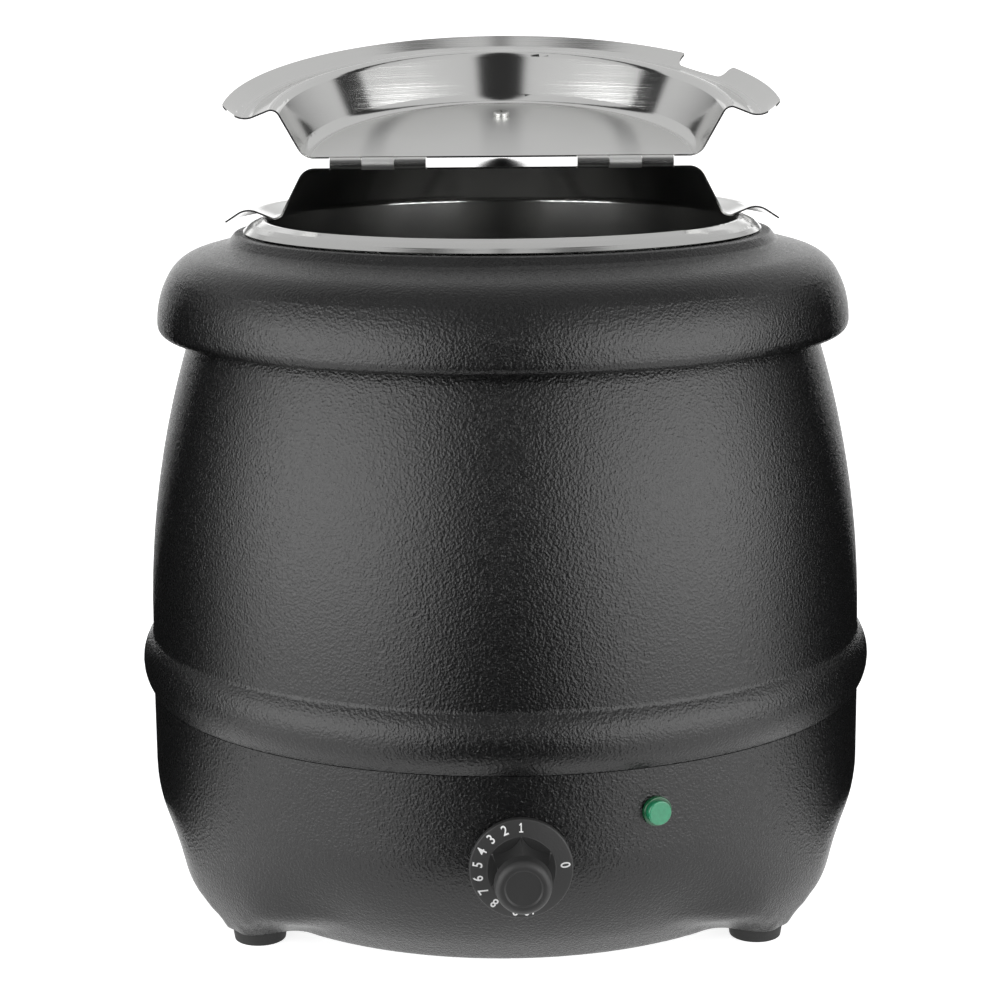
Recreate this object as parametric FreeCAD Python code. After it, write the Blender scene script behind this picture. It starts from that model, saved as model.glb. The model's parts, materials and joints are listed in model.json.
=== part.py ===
import FreeCAD, Part
import math
import os

Vector = FreeCAD.Vector
os.makedirs("parts", exist_ok=True)

# Driving dimensions, in millimetres and degrees.
# Z is up, the floor is Z = 0, the kettle's axis is the Z axis and its front faces -Y.
# An azimuth is counted from the front, positive towards +X.

# Fits shared by many pieces
running_gap = 0.05      # radial room of a shaft in its bearing
seat_gap = 0.1          # room between two pieces that are pressed together
moving_gap = 0.3        # room between two pieces that lift or swing apart
bolt_room = 0.2         # radial room of a screw in its hole

# Metric fasteners
screw_diameter = 4.0
screw_head_diameter = 8.0
screw_head_height = 2.4
nut_width = 7.0
nut_height = 3.2

# Rubber feet
foot_height = 6.5
foot_diameter = 25.0
foot_taper = 1.0        # how much smaller the foot's radius is on the floor
foot_set_in = 13.5      # from a leg's outside to the middle of its foot
foot_azimuth = 50.0     # from the front axis, and from the back axis
foot_recess_depth = 3.2

# Lower base: a pressed bowl with four leg bulges
base_radius = 168.7
base_wall = 2.0
base_height = 92.8      # from its floor to the barrel's hem
base_belly = 63.5       # height above the ground where the wall starts to lean in
base_belly_round = 68.4
base_lean = 45.8
base_floor_round = 5.0
leg_set_back = 8.2      # from the base's radius to a leg's outside at the foot
leg_round = 54.0
leg_spread_low = 9.0    # half width of a leg bulge at the floor, in degrees of azimuth
leg_spread_high = 25.4
leg_flat = 0.25         # share of that half width that stands out in full
leg_flare_height = 15.0
leg_flare_power = 1.44
spigot_set_in = 1.5     # from the base's radius to the ring that centres the barrel
spigot_height = 14.0
spigot_lap = 3.0        # of that ring and the base's wall

# Upper barrel: a spun shell with a bead round its foot, which stands on the base
hem_set_in = 0.2        # from the base's radius to the barrel's hem
barrel_set_in = 0.5     # from the base's radius to the barrel's
barrel_wall = 1.2
barrel_lean = 18.0      # lean of its wall where it goes under the collar
barrel_height = 167.7   # from its hem to the collar's underside
bead_proud = 5.0        # of the barrel's wall
bead_rise = 13.0        # from the hem to the bead's widest corner
bead_lean_low = 38.0
bead_lean_high = 36.0
bead_fillet = 4.0
barrel_straight = 3.1   # upright wall above the bead

# Collar: a moulded ring on the barrel's top
collar_overhang = 15.0  # from the barrel's neck to the collar's outside
collar_wall = 3.0
collar_edge_round = 5.0
collar_side_height = 17.3
collar_side_round = 42.0
collar_side_lean = 30.0
collar_shoulder_height = 35.0
collar_shoulder_round = 21.0
collar_top_rise = 6.1   # from the shoulder to the neck's foot
neck_rise = 4.6
neck_lip = 4.5          # width of the neck round the bath's flange
neck_spread = 3.7       # how much wider the neck is at its foot
neck_foot_round = 4.0
neck_top_round = 1.5

# Soup pot and the water bath it stands in
pot_set_in = 37.5       # from the barrel's neck to the pot's wall
pot_wall = 1.0
under_room = 46.17      # from the base's bottom to the bath's underside
pot_floor_round = 14.0
rim_reach = 0.7         # how far the rim overhangs the bath's flange
rim_edge_width = 3.2
rim_edge_drop = 3.1
rim_slope_drop = 3.3
rim_edge_round = 9.0
rim_top_round = 2.5
water_gap = 6.0
water_depth = 12.0      # under the pot
bath_wall = 1.2
bath_flange = 2.8
bath_floor_round = 12.0

# Lid: two halves of one pressed dish
lid_overhang = 8.6      # from the pot's rim to the lid's edge
lid_sheet = 0.8
lid_dome_height = 24.9
lid_dome_round = 7.2
lid_wall_lean = 27.5
lid_valley_inset = 4.6  # from the pot's wall to the valley
lid_valley_round = 4.5
lid_flange_lean = 22.2
lid_crest_inset = 1.1   # from the pot's rim to the crest of the flange
lid_crest_round = 9.0
lid_tip_drop = 6.4
lid_slit = 1.0          # gap between the halves
flap_tip_round = 6.0
notch_azimuth = 52.3    # ladle notch in the flap
notch_width = 33.5
notch_depth = 7.4
notch_round = 5.0
notch_left_round = 1.0  # the mouth's left corner
flap_open = 167.0       # the flap's angle from closed, as it lies open

# Hinges
hinge_rise = 2.2        # axis above the lid's top
hinge_inset = 34.2      # from the edge of the lid's flat top to the middle of a hinge
knuckle_length = 14.9
knuckle_radius = 2.8
knuckle_gap = 0.3
pin_radius = 1.5
leaf_width = 14.0
leaf_sheet = 0.8

# Flap handle
handle_inset = 24.4     # from the edge of the lid's flat top to the handle's middle
handle_radius = 15.0
handle_neck_radius = 7.5
handle_dome_radius = 16.0
handle_neck_height = 6.5
handle_thread_depth = 9.0

# Control knob and thermostat
knob_azimuth = 2.0
knob_height = 59.9
knob_skirt_radius = 22.0
knob_skirt_edge = 2.6    # height of the skirt's rim
knob_skirt_rise = 1.4    # rise of the skirt's face from its rim to the grip
knob_skirt_wall = 1.6
knob_boss_radius = 6.0
knob_wall_gap = 1.0
knob_grip_radius = 14.0
knob_grip_front_radius = 11.5
knob_reach = 27.0       # from the skirt's back to the grip's front
knob_front_round = 3.0
knob_flutes = 6
knob_flute_radius = 11.5
knob_flute_depth = 3.8
knob_dish_radius = 8.0  # shallow dish in the grip's front
knob_dish_depth = 0.6
knob_cap = 5.5          # full round front of the grip
spindle_radius = 3.0
spindle_grip = 14.0     # length of spindle inside the knob
thermostat_width = 36.0
thermostat_height = 30.0
thermostat_depth = 22.0
thermostat_stand_off = 4.6   # behind the base's wall, bridged by two bosses
thermostat_screw_spacing = 28.0

# Temperature sensor
bulb_radius = 3.0
bulb_length = 70.0
bulb_azimuth = -20.0
bulb_start = 86.5
capillary_radius = 0.8
clip_width = 12.0
clip_sheet = 0.8

# Indicator lamp
lamp_azimuth = 22.1
lamp_drop = 19.3        # from the barrel's hem to the lamp's middle
lamp_radius = 6.5
lamp_reach = 4.6
lamp_barrel_radius = 5.0
lamp_barrel_length = 20.0
lamp_nut_radius = 8.0
lamp_nut_height = 2.0

# Heater
heater_ring_radius = 70.0
heater_tube_radius = 4.2
heater_gap_angle = 30.0     # between the two ends, at the back
heater_tail = 12.0
clamp_radius = 84.0
clamp_sheet = 2.5
stud_radius = 3.0
stud_nut_width = 10.0
stud_nut_height = 5.0
cutout_radius = 11.0
cutout_stem_radius = 6.0
cutout_stem_length = 9.0
cutout_offset = 38.0

# Base plate
plate_foot_gap = 10.5   # from the plate's edge to a foot
plate_overlap = 8.0     # of the plate and the base's turned-in floor
plate_sheet = 1.2
plate_dish_radius = 27.0
plate_dish_height = 7.0
plate_dish_round = 3.0
plate_screws = 6
vent_slots = 12
vent_slot_length = 26.0
vent_slot_width = 4.0
vent_slot_circle = 72.0

# Mains inlet: gland, terminal block and earth stud
gland_drop = 26.8       # from the barrel's hem to the gland's middle
gland_thread_radius = 8.0
gland_bore_radius = 4.0
gland_flange_width = 24.0
gland_flange_height = 7.0
gland_cap_radius = 10.5
gland_cap_height = 20.0
gland_cap_round = 4.0
gland_tail = 12.0
locknut_height = 5.0
block_length = 34.0
block_width = 20.0
block_height = 16.0
block_back = 86.0       # block's middle, from the kettle's axis
block_hole_spacing = 22.0
earth_x = -40.0
earth_y = 80.0
earth_length = 14.0
lead_radius = 1.3
tab_width = 6.3         # push-on terminal tabs
tab_sheet = 0.8
tab_length = 8.0

# Heights and radii that follow from the sizes above
base_bottom = foot_height
leg_reach = base_radius - leg_set_back
foot_circle = leg_reach - foot_set_in
plate_radius = foot_circle - foot_diameter / 2 - plate_foot_gap
base_floor_radius = plate_radius - plate_overlap
plate_screw_circle = plate_radius - plate_overlap / 2
hem_height = base_bottom + base_height
seam_height = hem_height - seat_gap
lamp_height = hem_height - lamp_drop
gland_height = hem_height - gland_drop
collar_bottom = hem_height + barrel_height
hem_radius = base_radius - hem_set_in
barrel_radius = base_radius - barrel_set_in
bead_height = hem_height + bead_rise
bead_corner_radius = hem_radius + bead_rise * math.tan(math.radians(bead_lean_low))
bead_overhang = bead_corner_radius - barrel_radius
bead_top = bead_height + bead_overhang / math.tan(math.radians(bead_lean_high))
bead_half = math.radians(90 - (bead_lean_low + bead_lean_high) / 2)
bead_tilt = math.radians((bead_lean_low - bead_lean_high) / 2)
bead_round = (bead_overhang - bead_proud) / (math.cos(bead_tilt) / math.sin(bead_half) - 1)
barrel_belly = bead_top + barrel_straight
barrel_lean_angle = math.radians(barrel_lean)
barrel_round = (collar_bottom - barrel_belly) / math.sin(barrel_lean_angle)
barrel_neck_radius = barrel_radius - barrel_round * (1 - math.cos(barrel_lean_angle))
collar_radius = barrel_neck_radius + collar_overhang
neck_foot_height = collar_bottom + collar_shoulder_height + collar_top_rise
neck_top = neck_foot_height + neck_rise
pot_radius = barrel_neck_radius - pot_set_in
bath_radius = pot_radius + pot_wall + water_gap
bath_outer = bath_radius + bath_wall
ledge_radius = bath_outer + moving_gap
flange_radius = bath_outer + bath_flange
rebate_radius = flange_radius + moving_gap
rebate_floor = neck_top - bath_wall - seat_gap
flange_top = rebate_floor + bath_wall
neck_radius = rebate_radius + neck_lip
rim_radius = flange_radius + rim_reach
rim_edge_angle = math.atan2(rim_edge_drop, rim_edge_width)
rim_edge_height = flange_top + moving_gap + pot_wall * math.cos(rim_edge_angle)
rim_bend_height = rim_edge_height + rim_edge_drop
rim_corner_height = rim_bend_height + rim_slope_drop
rim_slope = math.atan2(rim_slope_drop, rim_radius - rim_edge_width - pot_radius)
rim_arc_drop = rim_top_round * math.tan((math.pi / 2 + rim_slope) / 2)
rim_arc_radius = pot_radius + rim_top_round
rim_arc_height = rim_corner_height - rim_arc_drop
bath_under = base_bottom + under_room
bath_floor = bath_under + bath_wall
pot_floor = bath_floor + water_depth + pot_wall

lid_radius = rim_radius + lid_overhang
flange_rise = math.tan(math.radians(lid_flange_lean))
lid_clear = (rim_top_round + moving_gap) / math.cos(math.radians(lid_flange_lean))
valley_radius = pot_radius - lid_valley_inset
crest_radius = rim_radius - lid_crest_inset
valley_height = rim_arc_height + lid_clear + (valley_radius - rim_arc_radius) * flange_rise
crest_height = rim_arc_height + lid_clear + (crest_radius - rim_arc_radius) * flange_rise
dome_under = valley_height + lid_dome_height - lid_sheet
dome_radius = valley_radius - (dome_under - valley_height) * math.tan(math.radians(lid_wall_lean))
lid_top = dome_under + lid_sheet
hinge_height = lid_top + hinge_rise
hinge_relief = knuckle_radius + moving_gap
hinge_offset = dome_radius - hinge_inset
handle_distance = dome_radius - handle_inset

# The open flap leans on its handle's dome: the dome's middle follows from the open angle.
open_sine = math.sin(math.radians(flap_open))
open_cosine = -math.cos(math.radians(flap_open))
dome_room = handle_distance * open_sine + hinge_rise - moving_gap - handle_dome_radius
dome_middle = hinge_rise + dome_room / open_cosine
handle_height = dome_middle + handle_dome_radius

heater_height = bath_under - seat_gap - heater_tube_radius
clamp_top = heater_height - heater_tube_radius - seat_gap
clamp_under = clamp_top - clamp_sheet
plate_top = base_bottom
plate_under = plate_top - plate_sheet
dish_under = plate_under + plate_dish_height


def polar(radius, azimuth, height=0.0):
    """A point at an azimuth counted from the front."""
    angle = math.radians(azimuth)
    return Vector(radius * math.sin(angle), -radius * math.cos(angle), height)


def rounded_wire(corners):
    """A closed wire in the XZ plane through corners (x, z, rounding), with tangent arcs."""
    points = [Vector(x, 0, z) for x, z, rounding in corners]
    count = len(points)
    halves = []
    reaches = []
    for i, corner in enumerate(points):
        back = points[i - 1] - corner
        ahead = points[(i + 1) % count] - corner
        half = back.getAngle(ahead) / 2
        halves.append(half)
        reaches.append(corners[i][2] / math.tan(half) if half < math.radians(89.9) else 0.0)
    arcs = []
    for i, corner in enumerate(points):
        back = points[i - 1] - corner
        ahead = points[(i + 1) % count] - corner
        room_back = back.Length / max(reaches[i] + reaches[i - 1], 1e-9)
        room_ahead = ahead.Length / max(reaches[i] + reaches[(i + 1) % count], 1e-9)
        reach = reaches[i] * min(1.0, room_back, room_ahead)
        if reach < 1e-6:
            arcs.append((corner, None, corner))
            continue
        rounding = reach * math.tan(halves[i])
        depth = rounding / math.sin(halves[i]) - rounding
        back.normalize()
        ahead.normalize()
        middle = corner + (back + ahead).normalize() * depth
        arcs.append((corner + back * reach, middle, corner + ahead * reach))
    edges = []
    for i, (start, middle, end) in enumerate(arcs):
        if middle is not None:
            edges.append(Part.Arc(start, middle, end).toShape())
        following = arcs[(i + 1) % count][0]
        if end.distanceToPoint(following) > 1e-6:
            edges.append(Part.LineSegment(end, following).toShape())
    return Part.Wire(edges)


def turned(corners):
    """A solid of revolution about Z from a closed section of corners (radius, height, rounding)."""
    section = Part.Face(rounded_wire(corners))
    return section.revolve(Vector(0, 0, 0), Vector(0, 0, 1), 360)


def offset_corners(path, distance):
    """The corners of a path moved to the left of its travel, with roundings that keep it parallel."""
    shifted = []
    for i, (x, z, rounding) in enumerate(path):
        sides = []
        if i > 0:
            sides.append((path[i][0] - path[i - 1][0], path[i][1] - path[i - 1][1]))
        if i + 1 < len(path):
            sides.append((path[i + 1][0] - path[i][0], path[i + 1][1] - path[i][1]))
        lefts = [(-dz / math.hypot(dx, dz), dx / math.hypot(dx, dz)) for dx, dz in sides]
        first, last = lefts[0], lefts[-1]
        turn = first[0] * last[1] - first[1] * last[0]
        share = distance / (1 + first[0] * last[0] + first[1] * last[1])
        round_there = rounding - math.copysign(distance, turn) if rounding else 0.0
        there = (x + (first[0] + last[0]) * share, z + (first[1] + last[1]) * share)
        shifted.append((there[0], there[1], max(round_there, 0.0)))
    return shifted


def spun_sheet(path, thickness):
    """A spun shell: path is one face, from end to end, and the sheet lies to the left of its travel."""
    return turned(path + offset_corners(path, thickness)[::-1])


def rod(radius, start, end):
    """A round bar between two points."""
    along = end - start
    return Part.makeCylinder(radius, along.Length, start, along)


def post(radius, x, y, low, high):
    """An upright round bar between two heights."""
    return Part.makeCylinder(radius, high - low, Vector(x, y, low))


def box_between(low, high):
    """A box between two opposite corners."""
    size = [b - a for a, b in zip(low, high)]
    return Part.makeBox(size[0], size[1], size[2], Vector(*low))


def hexagon(width, height, base):
    """An upright hexagonal prism, width across flats."""
    corners = []
    for k in range(7):
        angle = math.radians(60 * k)
        reach = width / math.sqrt(3)
        corners.append(base + Vector(reach * math.cos(angle), reach * math.sin(angle), 0))
    return Part.Face(Part.makePolygon(corners)).extrude(Vector(0, 0, height))


def rounded_block(width, depth, height, rounding):
    """A block on Z = 0 centred on the Z axis, with rounded upright edges."""
    block = Part.makeBox(width, depth, height, Vector(-width / 2, -depth / 2, 0))
    upright = [e for e in block.Edges if abs(e.tangentAt(e.FirstParameter).z) > 0.9]
    return block.makeFillet(rounding, upright)


def tab_at(x, y, width, top):
    """A terminal tab that hangs down from a height."""
    low = (x - tab_sheet / 2, y - width / 2, top - tab_length)
    high = (x + tab_sheet / 2, y + width / 2, top)
    return box_between(low, high)


def pan_screw(length):
    """A pan head screw: head up from Z = 0, shank down."""
    head = Part.makeCylinder(screw_head_diameter / 2, screw_head_height)
    crown = [e for e in head.Edges if e.BoundBox.ZMin > screw_head_height / 2]
    head = head.makeFillet(screw_head_height * 0.4, crown)
    slot_width = screw_head_diameter * 0.15
    slot_depth = screw_head_height * 0.4
    for turn in (0, 90):
        slot = Part.makeBox(screw_head_diameter * 0.55, slot_width, slot_depth)
        slot.translate(Vector(-screw_head_diameter * 0.275, -slot_width / 2, screw_head_height - slot_depth))
        slot.rotate(Vector(0, 0, 0), Vector(0, 0, 1), turn)
        head = head.cut(slot)
    shank = Part.makeCylinder(screw_diameter / 2, length, Vector(0, 0, -length))
    return head.fuse(shank).removeSplitter()


def hex_nut(width, height, bore):
    """A hexagonal nut on Z = 0."""
    blank = hexagon(width, height, Vector(0, 0, 0))
    return blank.cut(Part.makeCylinder(bore, height))


def on_wall(shape, azimuth, radius, height):
    """Turns a shape made along +Z to face outwards at a place on the kettle's wall."""
    angle = math.radians(azimuth)
    right = Vector(math.cos(angle), math.sin(angle), 0)
    out = polar(1, azimuth)
    place = polar(radius, azimuth, height)
    matrix = FreeCAD.Matrix(
        right.x, 0, out.x, place.x,
        right.y, 0, out.y, place.y,
        0, 1, 0, place.z,
        0, 0, 0, 1,
    )
    return shape.transformed(matrix)


def moved(shape, x, y, z):
    """A copy of a shape at another place."""
    copy = shape.copy()
    copy.translate(Vector(x, y, z))
    return copy


def upside_down(shape):
    """A copy turned over about the X axis."""
    copy = shape.copy()
    copy.rotate(Vector(0, 0, 0), Vector(1, 0, 0), 180)
    return copy


def tube_along(points, radius, bend):
    """A round wire along straight runs joined by tangent arcs of one bend radius."""
    edges = []
    start = points[0]
    for i in range(1, len(points) - 1):
        corner = points[i]
        back = (points[i - 1] - corner).normalize()
        ahead = (points[i + 1] - corner).normalize()
        half = back.getAngle(ahead) / 2
        reach = bend / math.tan(half)
        middle = corner + (back + ahead).normalize() * (bend / math.sin(half) - bend)
        edges.append(Part.LineSegment(start, corner + back * reach).toShape())
        edges.append(Part.Arc(corner + back * reach, middle, corner + ahead * reach).toShape())
        start = corner + ahead * reach
    edges.append(Part.LineSegment(start, points[-1]).toShape())
    path = Part.Wire(edges)
    along = (points[1] - points[0]).normalize()
    section = Part.Wire(Part.makeCircle(radius, points[0], along))
    return path.makePipeShell([section], True, False)


def group(solids):
    """Several separate solids in one node."""
    return Part.makeCompound(solids)


# Lower base
belly_drop = base_belly_round * math.sin(math.radians(base_lean))
lean_top = base_belly - belly_drop
lean_radius = base_radius - base_belly_round * (1 - math.cos(math.radians(base_lean)))
floor_arc_height = base_bottom + base_floor_round
lean_bottom = floor_arc_height - base_floor_round * math.sin(math.radians(base_lean))
lean_tangent = math.tan(math.radians(base_lean))
lean_bottom_radius = lean_radius - (lean_top - lean_bottom) * lean_tangent
floor_arc_radius = lean_bottom_radius - base_floor_round * math.cos(math.radians(base_lean))


def wall_radius(height):
    """Outside radius of the base between its legs."""
    if height >= base_belly:
        return base_radius
    if height >= lean_top:
        sag = math.sqrt(base_belly_round ** 2 - (base_belly - height) ** 2)
        return base_radius - base_belly_round + sag
    if height >= lean_bottom:
        return lean_radius - (lean_top - height) * lean_tangent
    return floor_arc_radius + math.sqrt(max(base_floor_round ** 2 - (floor_arc_height - height) ** 2, 0.0))


def leg_radius(height):
    """Outside radius of the base in the middle of a leg bulge."""
    if height >= leg_top:
        return base_radius
    return base_radius - leg_round + math.sqrt(leg_round ** 2 - (leg_top - height) ** 2)


def base_outline(height, inset):
    """One level outline of the base, moved in by a wall thickness."""
    climb = min(max((height - base_bottom) / leg_flare_height, 0.0), 1.0)
    spread = leg_spread_low + (leg_spread_high - leg_spread_low) * climb ** leg_flare_power
    wall = wall_radius(height)
    bulge = max(leg_radius(height) - wall, 0.0)
    points = []
    outline_points = 144
    for k in range(outline_points):
        azimuth = 360.0 * k / outline_points
        nearest = min(abs((azimuth - leg + 180) % 360 - 180) for leg in leg_azimuths)
        fall = min(max((nearest / spread - leg_flat) / (1 - leg_flat), 0.0), 1.0)
        swell = 0.5 * (1 + math.cos(math.pi * fall))
        points.append(polar(wall + bulge * swell - inset, azimuth, height + inset))
    curve = Part.BSplineCurve()
    curve.interpolate(Points=points, PeriodicFlag=True)
    return Part.Wire(curve.toShape())


leg_top = base_bottom + math.sqrt(2 * leg_round * leg_set_back - leg_set_back ** 2)
leg_azimuths = [foot_azimuth, 180 - foot_azimuth, 180 + foot_azimuth, 360 - foot_azimuth]
floor_angles = [(90 - base_lean) * k / 3 for k in range(4)]
floor_levels = [base_bottom + base_floor_round * (1 - math.cos(math.radians(a))) for a in floor_angles]
wall_levels = [floor_levels[-1] + (base_belly - floor_levels[-1]) * k / 10 for k in range(1, 11)]
base_levels = floor_levels + wall_levels


def base_solid(inset, top):
    """The base's outside or, moved in by a wall thickness, its hollow: a bowl and an upright band."""
    bowl = Part.makeLoft([base_outline(level, inset) for level in base_levels], True, False)
    brim = Part.Face(base_outline(base_belly, inset))
    return bowl.fuse(brim.extrude(Vector(0, 0, top - base_belly - inset)))


nodes = {}

shell = base_solid(0.0, seam_height)
hollow = base_solid(base_wall, seam_height + base_wall)
spigot_radius = base_radius - spigot_set_in
spigot = turned([
    (spigot_radius - base_wall, seam_height - spigot_lap, 0),
    (spigot_radius, seam_height - spigot_lap, 0),
    (spigot_radius, seam_height + spigot_height, 0),
    (spigot_radius - base_wall, seam_height + spigot_height, 0),
])
floor_opening = Part.makeCylinder(base_floor_radius, 4 * base_wall, Vector(0, 0, base_bottom - base_wall))
base = shell.cut(hollow).fuse(spigot).cut(floor_opening)

screw_hole = screw_diameter / 2 + bolt_room
thread_hole = screw_diameter / 2 + running_gap
knob_wall_radius = wall_radius(knob_height)
spindle_hole = spindle_radius + 2.5
through = 20 * base_wall
wall_holes = [
    on_wall(post(spindle_hole, 0, 0, -through / 2, through / 2),
            knob_azimuth, knob_wall_radius, knob_height),
    on_wall(post(lamp_barrel_radius + bolt_room, 0, 0, -through / 2, through / 2),
            lamp_azimuth, wall_radius(lamp_height), lamp_height),
    on_wall(post(gland_thread_radius + bolt_room, 0, 0, -through / 2, through / 2),
            180, wall_radius(gland_height), gland_height),
]
for side in (-1, 1):
    hole = post(screw_hole, side * thermostat_screw_spacing / 2, 0, -through / 2, through / 2)
    wall_holes.append(on_wall(hole, knob_azimuth, knob_wall_radius, knob_height))
for azimuth in leg_azimuths:
    wall_holes.append(Part.makeCylinder(screw_hole, base_bottom + 2 * base_wall, polar(foot_circle, azimuth)))
plate_azimuths = [360.0 * (k + 0.5) / plate_screws for k in range(plate_screws)]
for azimuth in plate_azimuths:
    wall_holes.append(Part.makeCylinder(thread_hole, 8 * base_wall, polar(plate_screw_circle, azimuth)))
nodes["lower_base"] = base.cut(group(wall_holes))

# Rubber feet, their screws and nuts
foot_radius = foot_diameter / 2
foot_recess_radius = screw_head_diameter / 2 + 1.5
foot = turned([
    (screw_hole, foot_recess_depth, 0),
    (foot_recess_radius, foot_recess_depth, 0),
    (foot_recess_radius, 0, 0),
    (foot_radius - foot_taper, 0, 0.8),
    (foot_radius, foot_height, 0),
    (screw_hole, foot_height, 0),
])
foot_screw = upside_down(pan_screw(foot_height - foot_recess_depth + base_wall + nut_height + 1.0))
foot_nut = hex_nut(nut_width, nut_height, thread_hole)
foot_names = ["foot_front_right", "foot_rear_right", "foot_rear_left", "foot_front_left"]
foot_screws = []
foot_nuts = []
for name, azimuth in zip(foot_names, leg_azimuths):
    place = polar(foot_circle, azimuth)
    nodes[name] = moved(foot, place.x, place.y, 0)
    foot_screws.append(moved(foot_screw, place.x, place.y, foot_recess_depth))
    foot_nuts.append(moved(foot_nut, place.x, place.y, base_bottom + base_wall))
nodes["foot_screws"] = group(foot_screws)
nodes["foot_nuts"] = group(foot_nuts)

# Upper barrel: its hem rests on the base's rim, round the base's centring ring
barrel_bend_height = barrel_belly + barrel_round * math.tan(barrel_lean_angle / 2)
side_slant = math.tan(math.radians(collar_side_lean))
shoulder_radius = collar_radius - (collar_shoulder_height - collar_side_height) * side_slant
neck_foot_radius = neck_radius + neck_spread
slope = math.atan2(collar_top_rise, shoulder_radius - neck_foot_radius)
ceiling_height = collar_bottom + collar_shoulder_height - collar_wall / math.cos(slope) - seat_gap
lean_by_slope = math.tan(barrel_lean_angle) * math.tan(slope)
reach_inside = shoulder_radius - barrel_radius - barrel_bend_height * math.tan(barrel_lean_angle)
barrel_top = (ceiling_height + reach_inside * math.tan(slope)) / (1 - lean_by_slope)
barrel_top_radius = barrel_radius - (barrel_top - barrel_bend_height) * math.tan(barrel_lean_angle)
nodes["upper_barrel"] = spun_sheet([
    (hem_radius, hem_height, 0),
    (bead_corner_radius, bead_height, bead_round),
    (barrel_radius, bead_top, bead_fillet),
    (barrel_radius, barrel_bend_height, barrel_round),
    (barrel_top_radius, barrel_top, 0),
], barrel_wall)

# Collar, with a rebate in its neck for the bath's flange
collar = spun_sheet([
    (barrel_neck_radius + moving_gap, collar_bottom, 0),
    (collar_radius, collar_bottom, collar_edge_round),
    (collar_radius, collar_bottom + collar_side_height, collar_side_round),
    (shoulder_radius, collar_bottom + collar_shoulder_height, collar_shoulder_round),
    (neck_foot_radius, neck_foot_height, neck_foot_round),
    (neck_radius, neck_top, neck_top_round),
    (ledge_radius, neck_top, 0),
], collar_wall)
rebate = Part.makeCylinder(rebate_radius, collar_wall, Vector(0, 0, rebate_floor))
nodes["collar"] = collar.cut(rebate)

# Water bath and soup pot
nodes["water_bath"] = spun_sheet([
    (0, bath_under, 0),
    (bath_outer, bath_under, bath_floor_round),
    (bath_outer, rebate_floor, 0.2),
    (flange_radius, rebate_floor, 0),
], bath_wall)
nodes["soup_pot"] = spun_sheet([
    (rim_radius, rim_edge_height, 0),
    (rim_radius - rim_edge_width, rim_bend_height, rim_edge_round),
    (pot_radius, rim_corner_height, rim_top_round),
    (pot_radius, pot_floor, pot_floor_round),
    (0, pot_floor, 0),
], pot_wall)

# Lid: one dish, slit across its middle
dish = spun_sheet([
    (0, dome_under, 0),
    (dome_radius, dome_under, lid_dome_round),
    (valley_radius, valley_height, lid_valley_round),
    (crest_radius, crest_height, lid_crest_round),
    (lid_radius, crest_height - lid_tip_drop, 0),
], lid_sheet)
lid_low = valley_height - 2 * lid_tip_drop
lid_tall = 2 * lid_dome_height
wide = 2 * lid_radius
behind = box_between((-wide, -lid_slit / 2, lid_low), (wide, wide, lid_low + lid_tall))
before = box_between((-wide, -wide, lid_low), (wide, lid_slit / 2, lid_low + lid_tall))
rear_half = dish.cut(before)
front_half = dish.cut(behind)

# The flap's two tips are rounded
for side in (-1, 1):
    tip_middle = side * (lid_radius - flap_tip_round)
    tip_line = -lid_slit / 2 - flap_tip_round
    ends = sorted((tip_middle, side * wide))
    corner = box_between((ends[0], tip_line, lid_low), (ends[1], 0, lid_low + lid_tall))
    corner = corner.cut(post(flap_tip_round, tip_middle, tip_line, lid_low, lid_low + lid_tall))
    front_half = front_half.cut(corner)

# Ladle notch: a slot from the flap's edge with round corners inside
notch_half = notch_width / 2
mouth = lid_radius * math.cos(notch_half / lid_radius)
notch_inner = lid_radius - notch_depth
notch_side = notch_half + notch_round
notch_wire = rounded_wire([
    (-notch_side, mouth, 0),
    (-notch_half, mouth, notch_left_round),
    (-notch_half, notch_inner, notch_round),
    (notch_half, notch_inner, notch_round),
    (notch_half, mouth, notch_round),
    (notch_side, mouth, 0),
    (notch_side, 2 * mouth - notch_inner, 0),
    (-notch_side, 2 * mouth - notch_inner, 0),
])
notch = Part.Face(notch_wire).extrude(Vector(0, lid_tall, 0))
notch.rotate(Vector(0, 0, 0), Vector(1, 0, 0), 90)
notch.translate(Vector(0, 0, lid_low))
notch.rotate(Vector(0, 0, 0), Vector(0, 0, 1), notch_azimuth)
front_half = front_half.cut(notch)

# Hinges: two knuckles on each rear leaf, one between them on the flap's leaf
hinge_half = 1.5 * knuckle_length
hinge_axis = Vector(0, 0, hinge_height)


def hinge_rod(radius, start, end):
    """A round bar on the hinge line between two X positions."""
    return Part.makeCylinder(radius, end - start, Vector(start, 0, hinge_height), Vector(1, 0, 0))


def hinge_leaf(centre, side, own, other):
    """A leaf on one lid half, the rear one for side +1, with its own knuckle spans and the other leaf's."""
    plate = rounded_block(2 * hinge_half, 2 * leaf_width, leaf_sheet, 2.0)
    far = -side * 2 * leaf_width
    long = 2 * hinge_half
    spare = box_between((-long, min(far, 0), -leaf_sheet), (long, max(far, 0), 2 * leaf_sheet))
    leaf = moved(plate.cut(spare), centre, 0, lid_top)
    for start, end in own:
        leaf = leaf.fuse(hinge_rod(knuckle_radius, centre + start, centre + end))
    for start, end in other:
        leaf = leaf.cut(hinge_rod(hinge_relief, centre + start - knuckle_gap, centre + end + knuckle_gap))
    return leaf.cut(hinge_rod(pin_radius + running_gap, centre - hinge_half - 1, centre + hinge_half + 1))


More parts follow.
